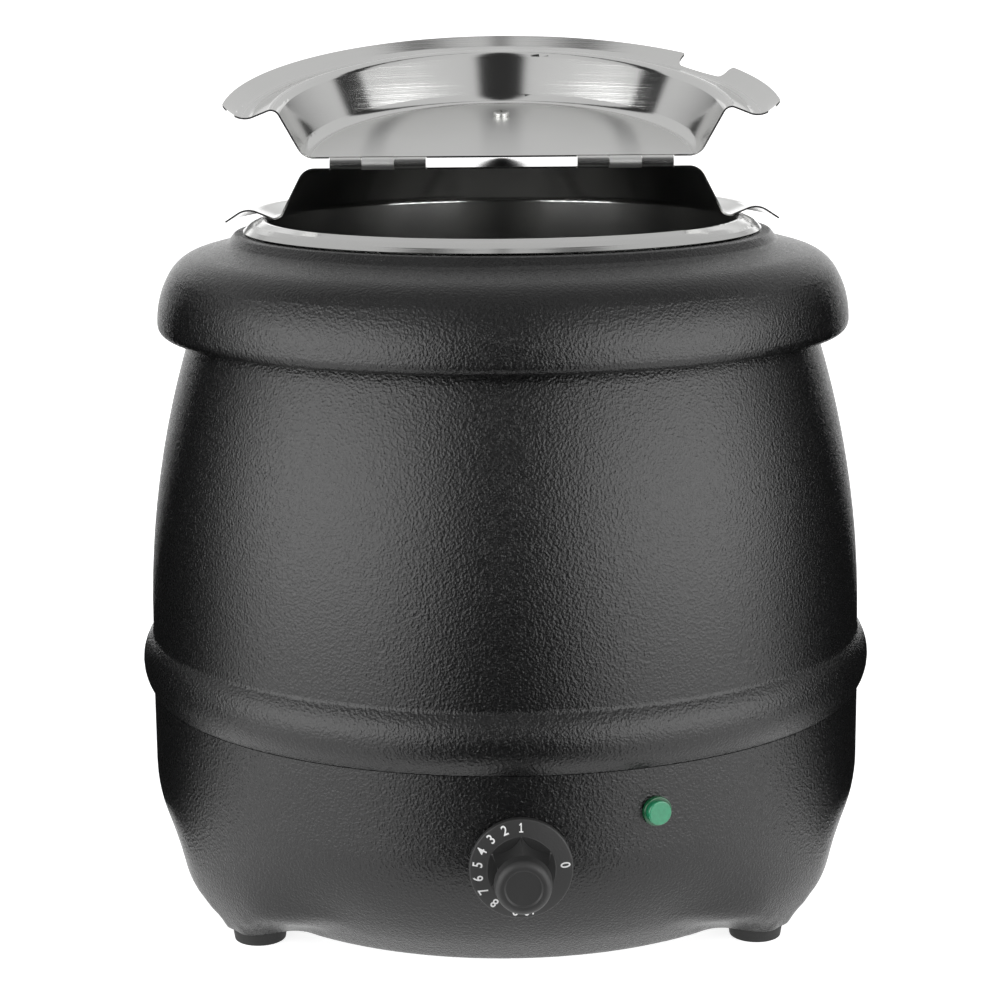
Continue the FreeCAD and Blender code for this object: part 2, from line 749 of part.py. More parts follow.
inner_end = knuckle_length / 2
outer_knuckles = [(-hinge_half, -inner_end - knuckle_gap), (inner_end + knuckle_gap, hinge_half)]
inner_knuckle = [(-inner_end, inner_end)]
for name, centre in (("left", -hinge_offset), ("right", hinge_offset)):
    relief = hinge_rod(hinge_relief, centre - hinge_half - moving_gap, centre + hinge_half + moving_gap)
    rear_half = rear_half.cut(relief)
    front_half = front_half.cut(relief)
    nodes["hinge_leaf_rear_" + name] = hinge_leaf(centre, 1, outer_knuckles, inner_knuckle)
    nodes["hinge_leaf_flap_" + name] = hinge_leaf(centre, -1, inner_knuckle, outer_knuckles)
    nodes["hinge_pin_" + name] = hinge_rod(pin_radius, centre - hinge_half, centre + hinge_half)
nodes["lid_rear_half"] = rear_half
nodes["lid_flap"] = front_half.cut(post(screw_hole, 0, -handle_distance, dome_under - 1, lid_top + 1))

# Flap handle and its screw, whose head is on the flap's inside
handle = turned([
    (0, handle_thread_depth, 0),
    (thread_hole, handle_thread_depth, 0),
    (thread_hole, 0, 0),
    (handle_neck_radius, 0, 0.6),
    (handle_neck_radius, handle_neck_height, 2.0),
    (handle_radius, handle_neck_height, 1.0),
    (handle_radius, handle_height, 0),
    (0, handle_height, 0),
])
handle = handle.common(Part.makeSphere(handle_dome_radius, Vector(0, 0, dome_middle)))
nodes["lid_handle"] = moved(handle, 0, -handle_distance, lid_top)
handle_screw = upside_down(pan_screw(lid_sheet + handle_thread_depth - 1.0))
nodes["handle_screw"] = moved(handle_screw, 0, -handle_distance, dome_under)

# The flap and all it carries lie open
for name in ("lid_flap", "hinge_leaf_flap_left", "hinge_leaf_flap_right", "lid_handle", "handle_screw"):
    nodes[name].rotate(hinge_axis, Vector(1, 0, 0), -flap_open)

# Control knob, made along +Z from the base's wall outwards
skirt_front = knob_wall_gap + knob_skirt_edge
skirt_face = skirt_front + knob_skirt_rise
skirt_hollow = screw_head_height + moving_gap + seat_gap
knob_front = knob_wall_gap + knob_reach
bore_end = knob_wall_gap + spindle_grip
knob = turned([
    (0, bore_end, 0),
    (spindle_radius + running_gap, bore_end, 0),
    (spindle_radius + running_gap, knob_wall_gap, 0),
    (knob_boss_radius, knob_wall_gap, 0),
    (knob_boss_radius, skirt_hollow, 0),
    (knob_skirt_radius - knob_skirt_wall, skirt_hollow, 0),
    (knob_skirt_radius - knob_skirt_wall, knob_wall_gap, 0),
    (knob_skirt_radius, knob_wall_gap, 0),
    (knob_skirt_radius, skirt_front, 0.8),
    (knob_grip_radius, skirt_face, 1.0),
    (knob_grip_front_radius, knob_front, knob_front_round),
    (knob_dish_radius, knob_front, 0.4),
    (knob_dish_radius - knob_dish_depth, knob_front - knob_dish_depth, 0.4),
    (0, knob_front - knob_dish_depth, 0),
])
flute_reach = knob_grip_radius - knob_flute_depth + knob_flute_radius
taper = math.degrees(math.atan2(knob_grip_radius - knob_grip_front_radius, knob_front - skirt_face))
for k in range(knob_flutes):
    flute = Part.makeCylinder(knob_flute_radius, knob_front - knob_cap - skirt_face - 0.8)
    flute.rotate(Vector(0, 0, 0), Vector(0, 1, 0), -taper)
    flute.translate(Vector(flute_reach, 0, skirt_face + 0.8))
    flute.rotate(Vector(0, 0, 0), Vector(0, 0, 1), 360.0 * k / knob_flutes)
    knob = knob.cut(flute)
nodes["control_knob"] = on_wall(knob, knob_azimuth, knob_wall_radius, knob_height)

# Thermostat behind the wall, its screws under the knob's skirt, its spindle in the knob
thermostat_front = -base_wall - thermostat_stand_off
thermostat_back = thermostat_front - thermostat_depth
spindle_seat = 10.0
body = moved(rounded_block(thermostat_width, thermostat_height, thermostat_depth, 3.0), 0, 0, thermostat_back)
thermostat_middle = (thermostat_front + thermostat_back) / 2
thermostat_under = -thermostat_height / 2
boss_top = thermostat_front + 0.55 * thermostat_stand_off
screw_reach = 14.0
for side in (-1, 1):
    boss = post(screw_diameter, side * thermostat_screw_spacing / 2, 0, thermostat_front - 1.0, boss_top)
    tab_x = side * thermostat_width / 4
    tab_low = (tab_x - tab_sheet / 2, thermostat_under - tab_length, thermostat_middle - tab_width / 2)
    tab_high = (tab_x + tab_sheet / 2, thermostat_under, thermostat_middle + tab_width / 2)
    body = body.fuse(boss).fuse(box_between(tab_low, tab_high))
for side in (-1, 1):
    body = body.cut(post(thread_hole, side * thermostat_screw_spacing / 2, 0, -screw_reach - 2.0, 0))
body = body.cut(post(spindle_radius + running_gap, 0, 0, thermostat_front - spindle_seat, 0))
nodes["thermostat_body"] = on_wall(body, knob_azimuth, knob_wall_radius, knob_height)
spindle_low = thermostat_front - spindle_seat + 0.5
spindle = post(spindle_radius, 0, 0, spindle_low, bore_end - 0.5)
nodes["thermostat_spindle"] = on_wall(spindle, knob_azimuth, knob_wall_radius, knob_height)
thermostat_screws = []
for side in (-1, 1):
    screw = moved(pan_screw(screw_reach), side * thermostat_screw_spacing / 2, 0, 0)
    thermostat_screws.append(on_wall(screw, knob_azimuth, knob_wall_radius, knob_height))
nodes["thermostat_screws"] = group(thermostat_screws)

# Sensor bulb on the bath's wall, held by two clips, with its capillary to the thermostat
bulb_circle = bath_outer + seat_gap + bulb_radius
bulb_foot = polar(bulb_circle, bulb_azimuth, bulb_start)
bulb = Part.makeCylinder(bulb_radius, bulb_length, bulb_foot)
bulb_ends = [e for e in bulb.Edges if e.Closed and abs(e.Length - 2 * math.pi * bulb_radius) < 1e-3]
nodes["sensor_bulb"] = bulb.makeFillet(bulb_radius * 0.5, bulb_ends)
clip_inside = bulb_radius + seat_gap
clip_outside = clip_inside + clip_sheet
clip_axis = bulb_circle - bath_outer
saddle = Part.makeCylinder(clip_outside, clip_width, Vector(0, clip_width / 2, clip_axis), Vector(0, -1, 0))
half = clip_width / 2
leg = box_between((-clip_outside, -half, seat_gap), (clip_outside, half, clip_axis))
wing = box_between((-2.5 * clip_outside, -half, seat_gap), (2.5 * clip_outside, half, seat_gap + clip_sheet))
inside = Part.makeCylinder(clip_inside, 2 * clip_width, Vector(0, clip_width, clip_axis), Vector(0, -1, 0))
below = -2 * clip_outside
gap_under = box_between((-clip_inside, -clip_width, below), (clip_inside, clip_width, clip_axis))
under_wall = box_between((below, -clip_width, below), (-below, clip_width, seat_gap))
clip = saddle.fuse(leg).fuse(wing).cut(inside).cut(gap_under).cut(under_wall)
clip_heights = [bulb_start + bulb_length * share for share in (0.25, 0.75)]
nodes["bulb_clips"] = group([on_wall(clip, bulb_azimuth, bath_outer, height) for height in clip_heights])
capillary_height = knob_height + thermostat_height / 4
knob_angle = math.radians(knob_azimuth)
knob_right = Vector(math.cos(knob_angle), math.sin(knob_angle), 0)
thermostat_circle = knob_wall_radius + thermostat_middle
thermostat_side = thermostat_width / 2 + seat_gap
capillary_place = polar(thermostat_circle, knob_azimuth, capillary_height)
nodes["capillary_tube"] = tube_along([
    bulb_foot - Vector(0, 0, seat_gap),
    Vector(bulb_foot.x, bulb_foot.y, capillary_height),
    capillary_place - knob_right * (thermostat_side + 8.0),
    capillary_place - knob_right * thermostat_side,
], capillary_radius, 5.0)

# Indicator lamp: lens outside, body through the wall, push nut inside
lamp_wall = wall_radius(lamp_height)
lens = turned([
    (0, moving_gap, 0),
    (lamp_radius, moving_gap, 0),
    (lamp_radius, lamp_reach / 2, 0.5),
    (lamp_radius * 0.84, lamp_reach / 2, 0),
    (lamp_radius * 0.84, lamp_reach, 0.8),
    (0, lamp_reach, 0),
])
nodes["indicator_lens"] = on_wall(lens, lamp_azimuth, lamp_wall, lamp_height)
lamp_tail = moving_gap - seat_gap - lamp_barrel_length
lamp_body = post(lamp_barrel_radius, 0, 0, lamp_tail, lamp_tail + lamp_barrel_length)
for side in (-1, 1):
    lamp_body = lamp_body.fuse(tab_at(side * lamp_barrel_radius / 2, 0, tab_width / 2, lamp_tail))
nodes["indicator_body"] = on_wall(lamp_body, lamp_azimuth, lamp_wall, lamp_height)
lamp_nut_front = -base_wall - 0.4
lamp_nut = turned([
    (lamp_barrel_radius + running_gap, lamp_nut_front, 0),
    (lamp_nut_radius, lamp_nut_front, 0),
    (lamp_nut_radius, lamp_nut_front - lamp_nut_height, 0),
    (lamp_barrel_radius + running_gap, lamp_nut_front - lamp_nut_height, 0),
])
nodes["indicator_nut"] = on_wall(lamp_nut, lamp_azimuth, lamp_wall, lamp_height)

# Heating ring under the bath, pressed up by a clamp plate on the tie stud
heater_sweep = 360 - heater_gap_angle
heater = Part.makeTorus(heater_ring_radius, heater_tube_radius, Vector(0, 0, heater_height), Vector(0, 0, 1),
                        0, 360, heater_sweep)
heater.rotate(Vector(0, 0, 0), Vector(0, 0, 1), 90 + heater_gap_angle / 2)
end_azimuths = (180 - heater_gap_angle / 2, 180 + heater_gap_angle / 2)
heater_ends = [polar(heater_ring_radius, azimuth, heater_height) for azimuth in end_azimuths]
pin_length = 6.0
pin_radius_hot = 1.6
for end in heater_ends:
    tail_end = end - Vector(0, 0, heater_tail)
    heater = heater.fuse(Part.makeSphere(heater_tube_radius, end))
    heater = heater.fuse(rod(heater_tube_radius, end, tail_end))
    heater = heater.fuse(rod(pin_radius_hot, tail_end, tail_end - Vector(0, 0, pin_length)))
nodes["heater_element"] = heater.removeSplitter()

clamp = post(clamp_radius, 0, 0, clamp_under, clamp_top)
clamp_holes = [post(stud_radius + bolt_room, 0, 0, clamp_under, clamp_top)]
clamp_holes.append(post(cutout_stem_radius + moving_gap, 0, -cutout_offset, clamp_under, clamp_top))
for end in heater_ends:
    clamp_holes.append(post(heater_tube_radius + 1.0, end.x, end.y, clamp_under, clamp_top))
nodes["heater_clamp_plate"] = clamp.cut(group(clamp_holes))

stem_low = clamp_top - cutout_stem_length
cutout = post(cutout_radius, 0, 0, clamp_top, bath_under - seat_gap)
cutout = cutout.fuse(post(cutout_stem_radius, 0, 0, stem_low, clamp_top))
for side in (-1, 1):
    cutout = cutout.fuse(tab_at(side * cutout_stem_radius / 2, 0, tab_width, stem_low))
nodes["thermal_cutout"] = moved(cutout, 0, -cutout_offset, 0)

stud_nut = hex_nut(stud_nut_width, stud_nut_height, stud_radius + running_gap)
stud_low = dish_under - stud_nut_height - 1.0
nodes["tie_stud"] = post(stud_radius, 0, 0, stud_low, bath_under)
nodes["clamp_nut"] = moved(stud_nut, 0, 0, clamp_under - stud_nut_height)
nodes["base_nut"] = moved(stud_nut, 0, 0, dish_under - stud_nut_height)

# Base plate under the base's floor, with a raised dish for the tie nut and a ring of vent slots
plate = spun_sheet([
    (stud_radius + bolt_room, dish_under, 0),
    (plate_dish_radius, dish_under, plate_dish_round),
    (plate_dish_radius + plate_dish_height, plate_under, plate_dish_round),
    (plate_radius, plate_under, 0),
], plate_sheet)
slot = rounded_block(vent_slot_width, vent_slot_length, 4 * plate_sheet, vent_slot_width * 0.49)
slot.translate(Vector(0, -vent_slot_circle, plate_under - plate_sheet))
plate_cuts = []
for k in range(vent_slots):
    turned_slot = slot.copy()
    turned_slot.rotate(Vector(0, 0, 0), Vector(0, 0, 1), 360.0 * (k + 0.5) / vent_slots)
    plate_cuts.append(turned_slot)
for azimuth in plate_azimuths:
    plate_cuts.append(Part.makeCylinder(screw_hole, 4 * base_wall, polar(plate_screw_circle, azimuth)))
nodes["base_plate"] = plate.cut(group(plate_cuts))
plate_screw = upside_down(pan_screw(plate_sheet + base_wall + 3.0))
plate_screws_placed = []
for azimuth in plate_azimuths:
    place = polar(plate_screw_circle, azimuth)
    plate_screws_placed.append(moved(plate_screw, place.x, place.y, plate_under))
nodes["base_plate_screws"] = group(plate_screws_placed)

# Cable gland at the back: body through the wall, rubber seal, cap outside, locknut inside
gland_wall = wall_radius(gland_height)
seal_radius = gland_bore_radius + 2.4
seal_room = seal_radius + seat_gap
seal_start = 3.0
gland_front = moving_gap + gland_flange_height
cap_front = gland_front + moving_gap + gland_cap_height
thread_end = cap_front - gland_cap_height * 0.4
gland_back = -base_wall - gland_tail
way_through = gland_bore_radius + 1.4
gland = turned([
    (way_through, gland_back, 0),
    (gland_thread_radius, gland_back, 0.6),
    (gland_thread_radius, thread_end, 0.6),
    (seal_room, thread_end, 0),
    (seal_room, seal_start, 0),
    (way_through, seal_start, 0),
])
gland_flange = hexagon(gland_flange_width, gland_flange_height, Vector(0, 0, moving_gap))
gland_flange = gland_flange.cut(Part.makeCylinder(gland_thread_radius - 0.5, gland_front + 1))
nodes["cable_gland"] = on_wall(gland.fuse(gland_flange), 180, gland_wall, gland_height)
cap_bore = gland_thread_radius + running_gap
cap = turned([
    (cap_bore, gland_front + moving_gap, 0),
    (gland_cap_radius, gland_front + moving_gap, 0.5),
    (gland_cap_radius, cap_front, gland_cap_round),
    (way_through, cap_front, 0),
    (way_through, thread_end + moving_gap, 0),
    (cap_bore, thread_end + moving_gap, 0),
])
nodes["gland_cap"] = on_wall(cap, 180, gland_wall, gland_height)
seal = turned([
    (gland_bore_radius, seal_start, 0),
    (seal_radius, seal_start, 0),
    (seal_radius, thread_end, 0),
    (gland_bore_radius, thread_end, 0),
])
nodes["gland_seal"] = on_wall(seal, 180, gland_wall, gland_height)
locknut = hex_nut(gland_flange_width, locknut_height, cap_bore)
locknut_back = -base_wall - 0.6 - locknut_height
nodes["gland_locknut"] = on_wall(moved(locknut, 0, 0, locknut_back), 180, gland_wall, gland_height)

# Terminal block and earth stud on the base plate
block = moved(rounded_block(block_length, block_width, block_height, 2.0), 0, block_back, plate_top)
block_top = plate_top + block_height
clamp_screw_radius = 2.2
clamp_screw_depth = 7.0
wire_height = plate_top + block_height * 0.4
wire_room = lead_radius + 0.4
terminal_xs = [k * block_hole_spacing / 2 for k in (-1, 0, 1)]
terminal_screws = []
screw_low = block_top - clamp_screw_depth
screw_top = block_top - 2.0
for x in terminal_xs:
    block = block.cut(post(clamp_screw_radius + running_gap, x, block_back, screw_low, block_top))
    wire_mouth = Vector(x, block_back - block_width / 2, wire_height)
    block = block.cut(Part.makeCylinder(wire_room, block_width, wire_mouth, Vector(0, 1, 0)))
    grub = post(clamp_screw_radius, x, block_back, screw_low, screw_top)
    slit_low = (x - clamp_screw_radius, block_back - 0.4, screw_top - 1.0)
    slit_high = (x + clamp_screw_radius, block_back + 0.4, screw_top)
    terminal_screws.append(grub.cut(box_between(slit_low, slit_high)))
nodes["terminal_block"] = block
nodes["terminal_screws"] = group(terminal_screws)
earth_nut = hexagon(nut_width, nut_height, Vector(0, 0, plate_top))
earth = earth_nut.fuse(Part.makeCylinder(screw_diameter / 2, earth_length, Vector(0, 0, plate_top)))
nodes["earth_stud"] = moved(earth, earth_x, earth_y, 0)

# Inner wiring
tab_end = knob_height + thermostat_under - tab_length - seat_gap
block_front = block_back - block_width / 2
wire_start = block_front + 4.0
run_height = 20.0
run_side = clamp_radius - 22.0
cutout_tab_low = stem_low - tab_length - seat_gap
heater_pin_low = heater_height - heater_tail - pin_length - seat_gap
bend = 6.0


def thermostat_run(side):
    """The last corners of a lead that ends at one of the thermostat's tabs."""
    end = polar(thermostat_circle, knob_azimuth, tab_end) + knob_right * (side * thermostat_width / 4)
    return [end - Vector(0, 0, 10.0), end]


right_end, left_end = heater_ends
nodes["live_lead"] = tube_along([
    Vector(terminal_xs[0], wire_start, wire_height),
    Vector(terminal_xs[0], block_front - 16.0, wire_height),
    Vector(-run_side, block_front / 4, run_height),
    Vector(-run_side, -clamp_radius, run_height),
] + thermostat_run(-1), lead_radius, bend)

cutout_tab = cutout_stem_radius / 2
nodes["switched_lead"] = tube_along([
    Vector(cutout_tab, -cutout_offset, cutout_tab_low),
    Vector(cutout_tab, -cutout_offset, cutout_tab_low - 9.0),
    Vector(cutout_tab, -cutout_offset - 20.0, cutout_tab_low - 9.0),
    Vector(thermostat_width / 2, -clamp_radius - 14.0, run_height),
] + thermostat_run(1), lead_radius, bend)

nodes["element_lead"] = tube_along([
    Vector(-cutout_tab, -cutout_offset, cutout_tab_low),
    Vector(-cutout_tab, -cutout_offset, cutout_tab_low - 8.0),
    Vector(-45.0, -20.0, run_height + 6.0),
    Vector(-45.0, 46.0, run_height + 6.0),
    Vector(left_end.x, left_end.y, heater_pin_low - 8.0),
    Vector(left_end.x, left_end.y, heater_pin_low),
], lead_radius, bend / 2)

nodes["neutral_lead"] = tube_along([
    Vector(terminal_xs[2], wire_start, wire_height),
    Vector(terminal_xs[2], block_front - 16.0, wire_height),
    Vector(terminal_xs[2] + 20.0, block_front - 22.0, wire_height + 4.0),
    Vector(terminal_xs[2] + 20.0, right_end.y, wire_height + 4.0),
    Vector(right_end.x, right_end.y, heater_pin_low - 9.0),
    Vector(right_end.x, right_end.y, heater_pin_low),
], lead_radius, bend / 2)

lamp_tab = lamp_wall + lamp_tail - tab_length - seat_gap
block_rear = block_back + block_width / 2
lamp_right = Vector(math.cos(math.radians(lamp_azimuth)), math.sin(math.radians(lamp_azimuth)), 0)
lamp_leads = []
lamp_runs = [(1, 112.0, 14.0, 12.0, 2), (-1, 106.0, 22.0, 20.0, 1)]
for side, run_circle, run_level, back_off, terminal in lamp_runs:
    start = polar(lamp_tab, lamp_azimuth, lamp_height) + lamp_right * (side * lamp_barrel_radius / 2)
    turn_in = start - polar(10.0, lamp_azimuth)
    lamp_leads.append(tube_along([
        start,
        turn_in,
        Vector(turn_in.x, turn_in.y, run_level + 6.0),
        polar(run_circle, 75.0, run_level),
        polar(run_circle, 120.0, run_level),
        Vector(terminal_xs[terminal], block_rear + back_off, run_level),
        Vector(terminal_xs[terminal], block_rear + 8.0 - back_off / 4, wire_height),
        Vector(terminal_xs[terminal], block_rear - 4.0, wire_height),
    ], lead_radius, bend / 3))
nodes["lamp_leads"] = group(lamp_leads)

earth_top = plate_top + earth_length + seat_gap
nodes["earth_lead"] = tube_along([
    Vector(earth_x, earth_y, earth_top),
    Vector(earth_x, earth_y, earth_top + 9.0),
    Vector(earth_x - 14.0, earth_y - 46.0, earth_top + 9.0),
    Vector(earth_x - 14.0, earth_y - 46.0, clamp_under - seat_gap),
], lead_radius, bend / 2)

for name, shape in nodes.items():
    shape.exportStep("parts/" + name + ".step")
    if not shape.isValid() or shape.Volume <= 0:
        print("bad shape", name)
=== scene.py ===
# %% [markdown]
# # A soup kettle in black powder coat and steel
# The kettle stands on a white floor with its lid flap thrown open. Its solids come
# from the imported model, so this lesson is about light, camera and finishes: a pitted
# black coat, spun and polished steel, moulded black plastic, and a small green lamp.

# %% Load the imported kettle
import json
import math

import bpy
from mathutils import Matrix, Vector


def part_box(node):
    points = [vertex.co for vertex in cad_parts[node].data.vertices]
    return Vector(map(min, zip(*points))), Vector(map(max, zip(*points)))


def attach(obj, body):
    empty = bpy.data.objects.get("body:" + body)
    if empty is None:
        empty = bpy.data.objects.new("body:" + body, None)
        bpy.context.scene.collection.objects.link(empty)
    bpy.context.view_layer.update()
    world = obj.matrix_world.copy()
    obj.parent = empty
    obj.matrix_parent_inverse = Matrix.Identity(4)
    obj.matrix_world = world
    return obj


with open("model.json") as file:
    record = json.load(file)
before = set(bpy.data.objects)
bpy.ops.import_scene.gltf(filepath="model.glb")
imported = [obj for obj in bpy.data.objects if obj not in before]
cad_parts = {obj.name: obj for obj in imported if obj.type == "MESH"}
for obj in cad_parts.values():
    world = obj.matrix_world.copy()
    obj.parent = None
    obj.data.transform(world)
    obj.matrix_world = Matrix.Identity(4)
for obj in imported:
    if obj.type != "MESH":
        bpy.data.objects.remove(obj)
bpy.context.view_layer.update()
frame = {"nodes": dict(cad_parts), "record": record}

# %% [markdown]
# ## Camera
# The picture was taken with a long lens from a little above the rim. A camera can be
# placed by eye, but fitting it to the circles of the rim, collar and bead gives the
# distance and the tilt together. The picture leans by half a degree, so the camera
# rolls by as much the other way.

# %% Camera
scene = bpy.context.scene
picture_pixels = 994
focal_pixels = 2497
sensor_width = 36.0
camera_place = Vector((0.0, -1.1699, 0.4228))
camera_tilt = math.radians(90 - 11.51)
camera_turn = math.radians(0.169)
camera_roll = math.radians(-0.48)

camera_data = bpy.data.cameras.new("camera")
camera_data.sensor_width = sensor_width
camera_data.lens = sensor_width * focal_pixels / picture_pixels
camera = bpy.data.objects.new("camera", camera_data)
turn = Matrix.Rotation(camera_turn, 4, "Z")
tilt = Matrix.Rotation(camera_tilt, 4, "X")
roll = Matrix.Rotation(camera_roll, 4, "Z")
camera.matrix_world = Matrix.Translation(camera_place) @ turn @ tilt @ roll
scene.collection.objects.link(camera)
scene.camera = camera
scene.view_settings.view_transform = "Standard"
print("lens:", round(camera_data.lens, 1), "mm")

# %% [markdown]
# ## Shader sums
# A material is a graph of nodes, and sums in a graph are hard to read. This class
# holds one output socket and lets Python's own operators add the Math nodes, so a mask
# can be written as 1 - grain * 0.4. Every other node comes from its node method.
# Most sockets go by name, but a Mix node has several of each name, so its colour
# sockets go by number.

# %% Shader sums
mix_dark, mix_light, mix_result = 6, 7, 2


class Wire:
    """One output socket of a node tree, usable in Python sums."""

    def __init__(self, tree, socket=None):
        self.tree = tree
        self.socket = socket

    def node(self, kind, settings=None, inputs=None, output=0):
        """Adds a node: settings are set first, then sockets are filled or linked."""
        made = self.tree.nodes.new(kind)
        for name, value in (settings or {}).items():
            setattr(made, name, value)
        for name, value in (inputs or {}).items():
            self.feed(made.inputs[name], value)
        return Wire(self.tree, made.outputs[output])

    def feed(self, socket, value):
        """Links a wire to a socket, or sets the socket's own value."""
        if isinstance(value, Wire):
            self.tree.links.new(value.socket, socket)
        else:
            socket.default_value = value

    def out(self, name):
        """Another output of the same node."""
        return Wire(self.tree, self.socket.node.outputs[name])

    def sum(self, operation, first, second):
        """A Math node on two values."""
        return self.node("ShaderNodeMath", {"operation": operation}, {0: first, 1: second})

    def __add__(self, other):
        return self.sum("ADD", self, other)

    def __radd__(self, other):
        return self.sum("ADD", other, self)

    def __sub__(self, other):
        return self.sum("SUBTRACT", self, other)

    def __rsub__(self, other):
        return self.sum("SUBTRACT", other, self)

    def __mul__(self, other):
        return self.sum("MULTIPLY", self, other)

    def __rmul__(self, other):
        return self.sum("MULTIPLY", other, self)

    def __abs__(self):
        return self.sum("ABSOLUTE", self, 0.0)

    def clamped(self, low, high):
        """The value squeezed from low..high into 0..1."""
        limits = {"Value": self, "From Min": low, "From Max": high}
        return self.node("ShaderNodeMapRange", {"clamp": True}, limits)

    def mix(self, dark, light):
        """A colour between two others, with this wire as the factor."""
        sockets = {"Factor": self, mix_dark: dark, mix_light: light}
        return self.node("ShaderNodeMix", {"data_type": "RGBA"}, sockets, mix_result)

    def vector(self, operation, *sides, output="Vector"):
        """A Vector Math node, for places and directions."""
        sockets = dict(enumerate(sides))
        return self.node("ShaderNodeVectorMath", {"operation": operation}, sockets, output)

    def length(self):
        """The length of a vector."""
        return self.vector("LENGTH", self, output="Value")


print("shader sums ready")

# %% [markdown]
# ## A finish
# Every surface of the kettle is one Principled shader with a few sums in front of it. A
# finish could be clicked together for each material, but most start with the same steps:
# a place on the piece, some noise, and a bump. This class holds those steps. A number
# that is the same all over a surface is set on the shader's own socket.

# %% A finish


class Finish(Wire):
    """A material with one Principled shader."""

    def __init__(self, name, **constants):
        self.material = bpy.data.materials.new(name)
        self.material.use_nodes = True
        super().__init__(self.material.node_tree)
        self.shader = self.tree.nodes["Principled BSDF"]
        self.place = self.node("ShaderNodeTexCoord", output="Object")
        for socket, value in constants.items():
            self.set(socket.replace("_", " "), value)

    def set(self, socket, value):
        """Fills or links a socket of the shader."""
        self.feed(self.shader.inputs[socket], value)

    def noise(self, scale, detail=3.0):
        """Cloudy noise from 0 to 1, with its scale in features per metre."""
        sockets = {"Vector": self.place, "Scale": scale, "Detail": detail}
        return self.node("ShaderNodeTexNoise", None, sockets)

    def bump(self, height, depth):
        """Raises the surface by height, a wire from 0 to 1, times a depth in metres."""
        sockets = {"Height": height, "Distance": depth, "Strength": 1.0}
        self.set("Normal", self.node("ShaderNodeBump", None, sockets))


def rgb(red, green, blue):
    return (red, green, blue, 1.0)


def grey(level):
    return rgb(level, level, level)


print("finishes ready")

# %% [markdown]
# ## Floor
# The kettle stands on a plain white sheet that runs past the picture on all sides. More
# lamps would whiten it and wash out the kettle too, so camera, mirror and glass rays see
# the sheet lifted almost to white by emission of its own, and fully white further out.
# The rest of its brightness is real light, so the kettle's shadow still falls on it.

# %% Floor
floor_half = 900.0
floor_cloud = 3.0
floor_tones = grey(0.74), grey(0.76)
lift_near, lift_far = 0.5, 2.5
lift_tones = grey(0.84), grey(1.0)


def seen_rays(wire):
    """1 for camera, mirror and glass rays, and 0 for rays that carry light about."""
    rays = wire.node("ShaderNodeLightPath", output="Is Camera Ray")
    seen = wire.sum("MAXIMUM", rays, rays.out("Is Glossy Ray"))
    return wire.sum("MAXIMUM", seen, rays.out("Is Transmission Ray"))


def stage_sheet(name, corners, faces, finish):
    """A thin stage piece from its corners and faces."""
    mesh = bpy.data.meshes.new(name)
    mesh.from_pydata(corners, [], faces)
    mesh.materials.append(finish.material)
    sheet = bpy.data.objects.new(name, mesh)
    scene.collection.objects.link(sheet)
    return sheet


floor_finish = Finish("white_floor", Roughness=0.9, Specular_IOR_Level=0.0)
floor_finish.set("Emission Strength", 1.0)
floor_finish.set("Base Color", floor_finish.noise(floor_cloud).mix(*floor_tones))
lift = floor_finish.place.length().clamped(lift_near, lift_far).mix(*lift_tones)
floor_finish.set("Emission Color", seen_rays(floor_finish).mix(grey(0.0), lift))
floor_signs = ((-1, -1), (1, -1), (1, 1), (-1, 1))
floor_corners = [(x * floor_half, y * floor_half, 0.0) for x, y in floor_signs]
stage_sheet("floor", floor_corners, [(0, 1, 2, 3)], floor_finish)
print("floor:", 2 * floor_half, "m")

# %% [markdown]
# ## Soft boxes
# A black kettle shows mostly what it mirrors, so the lamps are placed by their mirror
# images. Two large soft boxes left and right of the camera give the two broad bright
# bands on the barrel, and the gap between them gives the dark stripe down its middle. A
# weaker panel behind, above the rim, is what the flat steel mirrors.

# %% Soft boxes
lamp_target = Vector((0.0, 0.0, 0.2))


def at_azimuth(azimuth, distance, height=0.0):
    """A point by its azimuth in degrees, counted from the camera's side."""
    angle = math.radians(azimuth)
    return Vector((distance * math.sin(angle), -distance * math.cos(angle), height))


def soft_box(name, azimuth, distance, height, width, tall, radiance):
    """A rectangular lamp that faces the kettle and hides from the camera."""
    lamp = bpy.data.lights.new(name, "AREA")
    lamp.shape = "RECTANGLE"
    lamp.size = width
    lamp.size_y = tall
    lamp.energy = radiance * math.pi * width * tall
    box = bpy.data.objects.new(name, lamp)
    box.location = at_azimuth(azimuth, distance, height)
    box.rotation_mode = "QUATERNION"
    box.rotation_quaternion = (box.location - lamp_target).to_track_quat("Z", "Y")
    box.visible_camera = False
    scene.collection.objects.link(box)


side_box = {"distance": 1.6, "height": 0.55, "width": 2.3, "tall": 1.1, "radiance": 2.7}
back_box = {"distance": 2.6, "height": 0.8, "width": 3.0, "tall": 1.5, "radiance": 0.4}
soft_box("soft_box_left", azimuth=-58, **side_box)
soft_box("soft_box_right", azimuth=57, **side_box)
soft_box("soft_box_back", azimuth=180, **back_box)

# %% [markdown]
# ## Tent over the kettle
# Polished steel also mirrors the room. A white tent stands round the kettle, open where
# the camera looks in and slit at each side. A tent could be a mesh, but the world does
# the same with a few sums on the direction of a ray: it is pale above, and dark in the
# opening and in the slits. Low down, camera, mirror and glass rays meet plain white, so
# that a view from near the floor has a white background too.

# %% Tent over the kettle
tent_low, tent_high = 0.15, 0.40
tent_tones = grey(0.03), grey(0.66)
opening_half = 0.22
slit_half, slit_lean = 0.16, 0.02
soft_edge = 0.03
backdrop_low, backdrop_high = 0.20, 0.22

